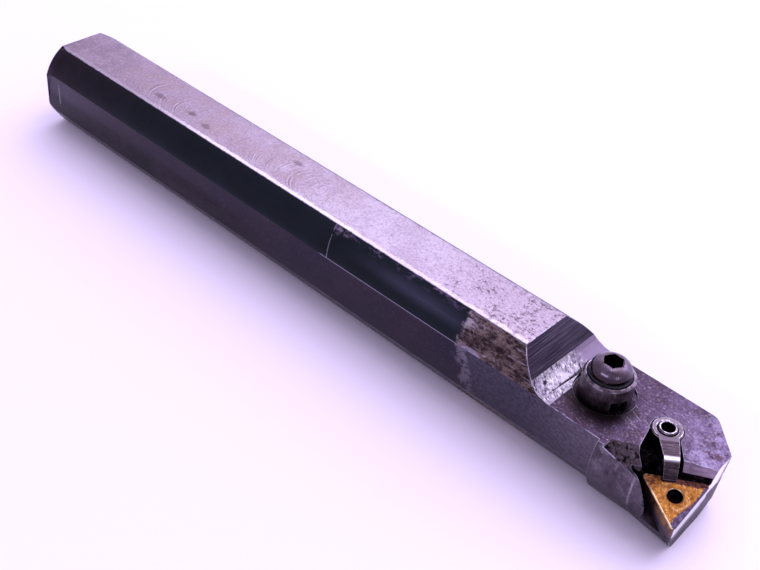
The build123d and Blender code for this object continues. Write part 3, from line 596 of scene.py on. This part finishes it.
def thread_nodes():
    """Geometry nodes: one turn of the ridge, set in a row along X at the thread's pitch."""
    group = bpy.data.node_groups.new("thread_turns", "GeometryNodeTree")
    for name, kind in (("Turns", "NodeSocketInt"), ("Pitch", "NodeSocketFloat"),
                       ("Core Radius", "NodeSocketFloat"), ("Root Radius", "NodeSocketFloat"),
                       ("Finish", "NodeSocketMaterial")):
        group.interface.new_socket(name, in_out="INPUT", socket_type=kind)
    group.interface.new_socket("Geometry", in_out="OUTPUT", socket_type="NodeSocketGeometry")

    def step(kind, inputs, **settings):
        return add(group, kind, inputs, **settings)

    given = group.nodes.new("NodeGroupInput").outputs
    depth = step("ShaderNodeMath", {0: given["Root Radius"], 1: given["Core Radius"]},
                 operation="SUBTRACT")
    # a circle of three points is 1.5 radii high: one faces the axis, the other two are in the root
    small = step("ShaderNodeMath", {0: depth, 1: 1.5}, operation="DIVIDE")
    centre = step("ShaderNodeMath", {0: given["Core Radius"], 1: small}, operation="ADD")
    turn = step("GeometryNodeCurveSpiral", {
        "Resolution": 40, "Rotations": 1.0, "Start Radius": centre, "End Radius": centre,
        "Height": given["Pitch"]})
    turn = step("GeometryNodeSetCurveNormal", {"Curve": turn}, mode="Z_UP")
    ridge = step("GeometryNodeCurvePrimitiveCircle", {"Resolution": 3, "Radius": small})
    one = step("GeometryNodeCurveToMesh", {"Curve": turn, "Profile Curve": ridge})
    one = step("GeometryNodeTransform", {"Geometry": one, "Rotation": (0, math.radians(90), 0)})
    apart = step("ShaderNodeCombineXYZ", {0: given["Pitch"]})
    row = step("GeometryNodeMeshLine", {"Count": given["Turns"], "Offset": apart})
    turns = step("GeometryNodeInstanceOnPoints", {"Points": row, "Instance": one})
    whole = step("GeometryNodeRealizeInstances", {"Geometry": turns})
    whole = step("GeometryNodeSetMaterial", {"Geometry": whole, "Material": given["Finish"]})
    step("NodeGroupOutput", {0: whole})
    return group


tapping = bpy.data.objects.new("inlet_thread", bpy.data.meshes.new("inlet_thread"))
bpy.context.collection.objects.link(tapping)
maker = tapping.modifiers.new("turns", "NODES")
maker.node_group = thread_nodes()
inputs = {"Turns": THREAD_TURNS, "Pitch": THREAD_PITCH / 1000, "Core Radius": THREAD_CORE / 1000,
          "Root Radius": THREAD_ROOT / 1000, "Finish": tapped_steel()}
for item in maker.node_group.interface.items_tree:
    if item.in_out == "INPUT":
        maker[item.identifier] = inputs[item.name]
bake_modifiers(tapping)
joined = bmesh.new()
joined.from_mesh(tapping.data)
bmesh.ops.remove_doubles(joined, verts=joined.verts, dist=TURN_GAP / 1000)
joined.to_mesh(tapping.data)
joined.free()
tapping.data.transform(Matrix.Translation((THREAD_START / 1000, 0, 0)))
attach(tapping, "bar")


# Insert: a pressed and sintered carbide triangle with a golden nitride coating, reversible, with a
# narrow land round each face. Its end edge has cut: there the coating is gone and chips have welded
# on. It sits tilted in the head's pocket, drawn to the wall by the lock pin.

SEAT_TILT = Euler([math.radians(degrees) for degrees in (11.8, 4.4, 0.9)], "ZYX").to_matrix()
SEAT_MIDDLE = Vector((245.142, -12.307, 1.846))      # middle of the insert's top face, millimetres
TO_WALL = 120            # directions in the insert's face, square to its sides, in degrees
TO_FRONT = 240


class InsertFinish(Finish):
    """A finish whose X and Y lie in the insert's face, in millimetres from its hole."""

    def __init__(self, name):
        super().__init__(name)
        seat = {0: self.mm, "Location": SEAT_MIDDLE, "Rotation": SEAT_TILT.to_euler("XYZ")}
        self.measure_from(self.node("Mapping", seat, vector_type="TEXTURE"))


def nitride():
    """Golden coating, warm and mottled, with brown grime at the back corner and along the wall,
    fine scratches, small purple burns and a ragged dark wear band on the end edge; a painted cream
    highlight on the land of the front edge, and painted shade round the hole."""
    f = InsertFinish("nitride_coating")
    cloud = f.noise(2.0, detail=7.0, rough=0.68)
    mottle = f.noise(0.8, detail=6.0, rough=0.72)
    gold = f.mix(f.fade(cloud, 0.38, 0.62), "#96682a", "#6b441b")
    gold = f.mix(f.fade(mottle, 0.56, 0.42, 0.0, 0.45), gold, "#583413")
    gold = f.mix(f.both(f.fade(mottle, 0.54, 0.66), f.fade(cloud, 0.56, 0.44)), gold, "#c3a062")
    scratch = f.noise(0.25, f.stretched(x=7, turn=60), detail=3.0)
    gold = f.mix(f.fade(scratch, 0.6, 0.7, 0.0, 0.5), gold, "#d6c390")
    ring = f.distance((0, 0, 0))
    arc = f.within(f.math("MULTIPLY_ADD", f.noise(2.5), 1.0, ring), 3.9, 4.2, 0.3)
    arc = f.both(arc, f.fade(f.noise(1.6), 0.44, 0.56))
    gold = f.mix(f.math("MULTIPLY", arc, 0.35), gold, "#cdb67c")
    dirty = f.math("MULTIPLY_ADD", f.noise(1.2, detail=8.0, rough=0.72), 3.4, f.reach(TO_WALL))
    dirt_colour = f.mix(f.fade(mottle, 0.4, 0.6), "#1d1212", "#4c2f24")
    gold = f.mix(f.fade(dirty, 4.6, 5.1), gold, dirt_colour)
    corner = f.math("MULTIPLY_ADD", f.noise(1.2, detail=7.0), -2.5, f.x)
    burnt = f.mix(f.fade(mottle, 0.4, 0.6), "#251612", "#7a4f24")
    gold = f.mix(f.fade(corner, -4.6, -6.6), gold, burnt)
    gold = f.mix(f.fade(f.noise(0.9, detail=2.0), 0.68, 0.71), gold, "#47203c")
    ragged = f.math("MULTIPLY_ADD", f.noise(0.9, detail=6.0, rough=0.74), 1.7, f.x)
    band = f.fade(f.y, 1.5, -5.0, -0.3, 0.85)
    worn = f.fade(f.math("ADD", ragged, band), 4.75, 4.92)
    gold = f.mix(worn, gold, f.mix(f.fade(mottle, 0.35, 0.65), "#2b2430", "#574f5c"))
    # painted highlight: the land of the front edge flashes cream
    land = f.both(f.fade(f.reach(TO_FRONT), 4.3, 4.45), f.fade(f.x, -6.5, -3.5),
                  f.fade(mottle, 0.3, 0.45))
    gold = f.mix(f.math("MULTIPLY", land, 0.85), gold, "#e2c992")
    # painted shade: darker brown round the hole's rim and down its wall
    gold = f.mix(f.fade(ring, 2.3, 2.0, 0.0, 0.85), gold, "#4e2e1a")
    return f.done(gold, f.fade(cloud, 0.3, 0.7, 0.3, 0.42), mottle, 0.012)


def nitride_flank():
    """The coating on the front flank: browner, smeared along its height."""
    f = InsertFinish("nitride_flank")
    smear = f.noise(1.0, f.stretched(z=5), detail=5.0)
    gold = f.mix(f.fade(smear, 0.35, 0.65), "#6b4a38", "#a67a42")
    gold = f.mix(f.fade(f.math("MULTIPLY_ADD", smear, 2.0, f.z), -0.6, -2.8), gold, "#5b4b50")
    return f.done(gold, 0.4, smear, 0.01)


def worn_flank():
    """Flank that has rubbed on the work: coating gone, pale carbide polished by it."""
    f = InsertFinish("worn_flank")
    lines = f.noise(0.5, f.stretched(y=5), detail=5.0)
    grey = f.mix(f.fade(lines, 0.3, 0.7), "#cccbcd", "#ebf0e4")
    grey = f.mix(f.both(f.fade(f.noise(1.4), 0.56, 0.66), f.fade(f.z, -1.5, -3.5)), grey, "#534955")
    return f.done(grey, 0.3, lines, 0.01)


def land_painted_highlight():
    """Land along the cutting edges, honed: a painted cream highlight, grey violet where it is worn
    off.
    """
    f = InsertFinish("honed_land_highlight")
    gone = f.fade(f.x, 4.2, 4.5)
    land = f.mix(f.fade(f.noise(0.8), 0.35, 0.6), "#c59a5a", "#f3e6c0")
    land = f.mix(gone, land, f.mix(f.noise(0.5), "#3a3040", "#8d7f98"))
    return f.done(land, 0.28)


INSERT_HOLE = 2.5        # faces nearer to the insert's middle than this are the hole's wall


def insert_zone(at, normal):
    """Which finish a face of the insert has."""
    facing = SEAT_TILT.transposed() @ normal
    from_middle = SEAT_TILT.transposed() @ (at - SEAT_MIDDLE)
    if abs(facing.z) > 0.95:
        return "face"
    if abs(facing.z) > 0.2:
        return "land"
    if from_middle.xy.length < INSERT_HOLE:
        return "face"
    return "end flank" if facing.x > 0.8 else "front flank"


insert_finishes = {"face": nitride(), "front flank": nitride_flank(), "end flank": worn_flank(),
                   "land": land_painted_highlight()}
cutter = solid_copy("insert", "cutting_insert", insert_finishes, insert_zone)


# Shim: a sintered plate of bare carbide, ground on its faces. It lies in the pocket under the
# insert and spares the bar if the insert breaks; the lock pin holds it.


def bare_carbide():
    """Dark grey ground carbide, dulled by coolant."""
    f = InsertFinish("ground_carbide")
    lines = f.noise(0.4, f.stretched(x=6), detail=4.0)
    return f.done(f.mix(f.fade(lines, 0.3, 0.7), "#2b262c", "#4a434a"), 0.38, lines, 0.01)


shim = solid_copy("shim", "seat_plate", {"ground": bare_carbide()})


# Lock pin: a hardened and blackened screw through the shim, whose off-centre head pulls the insert
# to the wall. Only its head's end shows in the insert's hole, where it is painted nearly black as
# the hole's shade.


def blackened_in_shade():
    """Blackened steel painted nearly black, as shade in a hole, with a brown cast and a soft gloss.
    """
    f = Finish("blackened_in_shade")
    blotch = f.noise(0.8, detail=5.0)
    return f.done(f.mix(f.fade(blotch, 0.35, 0.65), "#0a0708", "#130e11"), 0.8, blotch, 0.02)


pin = solid_copy("lock_pin", "cam_pin", {"blackened_shaded": blackened_in_shade()}, body="lock_pin")


# Clamp finger: a forged and tumbled steel ring with a finger that bends down onto the insert. Its
# ring sits in a round pocket of the head, and the clamp's screw draws it down.

CLAMP_X, CLAMP_Y = 233.8, 0.45       # the clamp's axis, millimetres
FINGER_DIRECTION = -52               # degrees from the bar's axis


def tumbled_steel():
    """Handled steel: brown grey, with fine lines across the finger, a lighter top to the ring and a
    painted white highlight across the bend.
    """
    f = Finish("tumbled_steel")
    lines = f.noise(0.22, f.stretched(x=14, turn=-38), detail=4.0, rough=0.7)
    blotch = f.noise(1.2, detail=6.0, rough=0.7)
    steel = f.mix(f.fade(lines, 0.35, 0.65), "#30282a", "#564c4f")
    steel = f.mix(f.fade(blotch, 0.5, 0.66, 0.0, 0.6), steel, "#2b2426")
    reach = f.reach(FINGER_DIRECTION, (CLAMP_X, CLAMP_Y))
    ring_top = f.both(f.fade(reach, 4.6, 3.6), f.fade(f.z, 6.2, 6.5))
    steel = f.mix(ring_top, steel, f.mix(blotch, "#51484b", "#7a7275"))
    # painted highlight: a white band across the finger's bend
    rubbed_and_highlight = f.both(f.within(reach, 9.3, 10.4, 0.45), f.fade(f.noise(1.5), 0.25, 0.45, 0.6, 1.0))
    steel = f.mix(rubbed_and_highlight, steel, "#d6d4d2")
    steel = f.mix(f.fade(f.z, 4.6, 3.2, 0.0, 0.75), steel, "#261f22")
    return f.done(steel, f.fade(lines, 0.3, 0.7, 0.2, 0.3), lines, 0.01)


def bright_rim():
    """Broken edges of small steel parts, rubbed bright."""
    f = Finish("bright_rim")
    patch = f.noise(0.7, detail=4.0)
    rim = f.mix(f.fade(patch, 0.38, 0.6), "#6b6468", "#cfcfc8")
    return f.done(f.mix(f.fade(f.z, 6.3, 5.4, 0.0, 0.9), rim, "#5a5257"), 0.26)


bright = bright_rim()
finger = solid_copy("clamp_finger", "finger_clamp", {"tumbled": tumbled_steel(), "edge": bright},
                    body="clamp_finger", edge_break=0.12)


# Clamp screw: a small hardened socket screw, blackened, that draws the finger down. Its end stands
# a little out of the ring and is rubbed bright.


def blackened_screw():
    """Blackened screw whose skin has worn to a shiny violet grey, brown in patches; painted shade
    darkens the low part of the nozzle screw's dome and blackens the side of its head.
    """
    f = Finish("blackened_screw")
    blotch = f.noise(2.2, detail=7.0, rough=0.7)
    fine = f.noise(0.5, detail=5.0, rough=0.72)
    skin = f.mix(f.fade(blotch, 0.4, 0.62), "#6f6772", "#5a4f54")
    # painted shade: darker low on the nozzle screw's dome, nearly black on the side of its head
    under = f.math("MULTIPLY_ADD", blotch, 1.2, f.z)
    skin = f.mix(f.both(f.fade(under, 16.2, 15.1), f.fade(f.z, 12.5, 13.0)), skin, "#3b3236")
    skin = f.mix(f.both(f.fade(f.z, 14.5, 14.0), f.fade(f.z, 12.5, 13.0)), skin, "#1a1416")
    skin = f.mix(f.fade(fine, 0.55, 0.7, 0.0, 0.4), skin, "#8d848c")
    skin = f.mix(f.fade(f.noise(0.8, detail=4.0), 0.64, 0.7, 0.0, 0.5), skin, "#5b3f38")
    return f.done(skin, f.fade(blotch, 0.3, 0.7, 0.2, 0.28), fine, 0.003)


def socket_black():
    """Inside of a socket, bore or shank: painted shade, nearly black."""
    f = Finish("socket_painted_shade")
    return f.done(f.mix(f.noise(0.7), "#020202", "#080607"), 0.9)


worn_screw = blackened_screw()
dirt = socket_black()
CLAMP_SCREW_TOP = 7.1    # the screw's end face is just above this
CLAMP_SOCKET = 1.78      # radius within which its faces are the socket's


def clamp_screw_zone(at, normal):
    """Which finish a face of the clamp's screw has: its end is rubbed, its socket in painted shade.
    """
    if normal.z > 0.9 and at.z > CLAMP_SCREW_TOP:
        return "edge"
    from_axis = math.hypot(at.x - CLAMP_X, at.y - CLAMP_Y)
    in_socket = from_axis < CLAMP_SOCKET and -5 < at.z < CLAMP_SCREW_TOP
    return "dirt" if in_socket else "skin"


clamp_screw_finishes = {"skin": worn_screw, "dirt": dirt, "edge": bright}
clamp_screw = solid_copy("clamp_screw", "finger_screw", clamp_screw_finishes, clamp_screw_zone,
                         "clamp_screw", edge_break=0.06)


# Nozzle collar: a turned and blackened steel ring over the coolant bore, notched at its base where
# the jet leaves. It turns in its seat to aim the jet, and the hollow screw holds it.

NOZZLE_X, NOZZLE_Y = 215.85, -0.2    # the nozzle's axis, millimetres
COLLAR_TOP_Z = 12.8
COLLAR_BORE = 6.0                    # radius within which the collar's faces are its bore's


def from_nozzle(at):
    """Millimetres from the nozzle's axis."""
    return math.hypot(at.x - NOZZLE_X, at.y - NOZZLE_Y)


def turned_collar():
    """Turned steel gone brown grey, darker towards its base."""
    f = Finish("turned_collar")
    blotch = f.noise(2.0, detail=7.0, rough=0.7)
    fine = f.noise(0.6, detail=5.0, rough=0.72)
    steel = f.mix(f.fade(blotch, 0.38, 0.62), "#564b4f", "#7f7478")
    steel = f.mix(f.fade(fine, 0.56, 0.7, 0.0, 0.45), steel, "#857a7e")
    base = f.math("MULTIPLY_ADD", blotch, 3.0, f.z)
    steel = f.mix(f.fade(base, 10.4, 7.2, 0.0, 0.85), steel, "#2a2223")
    return f.done(steel, f.fade(blotch, 0.3, 0.7, 0.3, 0.42), blotch, 0.03)


def dull_rim():
    """Broken edges of the nozzle, rubbed only to a satin grey."""
    f = Finish("dull_rim")
    patch = f.noise(1.1, detail=5.0)
    return f.done(f.mix(f.fade(patch, 0.38, 0.62), "#574e53", "#9c9398"), 0.22)


def collar_zone(at, normal):
    """Which finish a face of the collar has: its top and chamfer are rubbed like an edge, its bore
    is in painted shade.
    """
    if 0.2 < normal.z < 0.95 or at.z > COLLAR_TOP_Z - TOUCH:
        return "edge"
    return "dirt" if from_nozzle(at) < COLLAR_BORE else "turned"


satin = dull_rim()
collar_finishes = {"turned": turned_collar(), "dirt": dirt, "edge": satin}
collar = solid_copy("nozzle_collar", "coolant_collar", collar_finishes, collar_zone,
                    "nozzle_collar", edge_break=0.06)


# Nozzle screw: a button-head socket screw of blackened steel, screwed into the riser of the coolant
# bore. It is hollow: it holds the collar down and feeds it.


NOZZLE_SOCKET = 2.9                  # radius within which the screw's faces are its socket's
NOZZLE_HEAD_Z = 13.0                 # the screw's shank is below this


def nozzle_screw_zone(at, normal):
    """Which finish a face of the nozzle's screw has: its socket and its shank are in painted shade.
    """
    in_socket = from_nozzle(at) < NOZZLE_SOCKET and 13.4 < at.z < 16.75
    return "dirt" if in_socket or at.z < NOZZLE_HEAD_Z else "skin"


nozzle_screw_finishes = {"skin": worn_screw, "dirt": dirt, "edge": satin}
nozzle_screw = solid_copy("nozzle_screw", "coolant_screw", nozzle_screw_finishes, nozzle_screw_zone,
                          "nozzle_screw", edge_break=0.07)


# Seals: moulded rubber rings, one under the collar and one under the screw's head, squeezed when
# the screw is tight.


def black_rubber():
    """Moulded rubber, black and matt, wet with coolant in places."""
    f = Finish("black_rubber", metal=0.0)
    damp = f.noise(1.5)
    rubber = f.mix(damp, "#100e10", "#1d191c")
    return f.done(rubber, f.fade(damp, 0.4, 0.6, 0.45, 0.75), f.noise(0.2), 0.01)


rubber = black_rubber()
head_seal = solid_copy("nozzle_head_seal", "screw_seal", {"rubber": rubber}, body="nozzle_rise")
base_seal = solid_copy("nozzle_base_seal", "collar_seal", {"rubber": rubber})


# Floor: a sheet of white paper with a breath of lilac. The bar lies on its bottom flat.


def white_paper():
    """Smooth paper, matt and nearly white, a little more lilac in front of the bar."""
    f = Finish("white_paper", metal=0.0)
    return f.done(f.mix(f.fade(f.y, -150, 60), "#f5f1f6", "#fbfafb"), 0.9)


FLOOR_REACH = 6          # metres, to each side
floor_z = cad_box[0].z
corners = [(x * FLOOR_REACH, y * FLOOR_REACH, floor_z)
           for x, y in ((-1, -1), (1, -1), (1, 1), (-1, 1))]
paper = bpy.data.meshes.new("paper")
paper.from_pydata(corners, [], [(0, 1, 2, 3)])
paper.materials.append(white_paper())
floor = bpy.data.objects.new("floor", paper)
bpy.context.collection.objects.link(floor)


# Light: a lilac room, brightest high up at the back, with soft lamps behind the bar and overhead
# and two small ones low in front that streak the nozzle's round top.

LILAC = "#e3d3ff"
BRIGHTEST = (-0.1, 0.77, 0.63)       # towards the brightest part of the room


def lamp(name, at, aim, size_x, size_y, power):
    """A soft oblong lamp at one point, aimed at another, in metres and watts."""
    light = bpy.data.lights.new(name, "AREA")
    light.shape = "RECTANGLE"
    light.size, light.size_y = size_x, size_y
    light.energy = power
    light.color = linear(LILAC)[:3]
    holder = bpy.data.objects.new(name, light)
    bpy.context.collection.objects.link(holder)
    holder.location = at
    holder.rotation_euler = (Vector(aim) - Vector(at)).to_track_quat("-Z", "Y").to_euler()


lamp("window", (0.33, 0.95, 1.1), (0.15, 0, 0), 1.0, 1.1, 6.0)
lamp("ceiling", (0.28, 0.12, 1.0), (0.22, 0, 0), 0.12, 0.3, 1.2)
lamp("front", (0.17, -0.87, 0.55), (0.2, 0, 0), 0.6, 0.05, 1.5)
lamp("side", (1.0, -0.31, 0.44), (0.21, 0, 0), 0.1, 0.1, 0.5)
room = bpy.data.worlds.new("room")
room.use_nodes = True
sky = room.node_tree
direction = add(sky, "ShaderNodeTexCoord", {})
toward = add(sky, "ShaderNodeVectorMath", {0: direction, 1: BRIGHTEST}, out=1,
             operation="DOT_PRODUCT")
glow = add(sky, "ShaderNodeMapRange", {0: toward, 1: 0.3, 2: 1.0, 3: 0.64, 4: 2.35},
           interpolation_type="SMOOTHSTEP")
sky.links.new(glow, sky.nodes["Background"].inputs[1])
sky.nodes["Background"].inputs[0].default_value = linear(LILAC)
bpy.context.scene.world = room


# Camera: above and in front of the cutting end, looking back along the bar. Metres and radians.

lens = bpy.data.cameras.new("camera")
lens.lens = 56.0524
lens.sensor_width = 36.0
camera = bpy.data.objects.new("camera", lens)
bpy.context.collection.objects.link(camera)
camera.location = (0.307149, -0.204548, 0.206646)
camera.rotation_euler = Euler((0.889275, -0.084445, 0.75273), "XYZ")
bpy.context.scene.camera = camera
bpy.context.scene.view_settings.view_transform = "Standard"
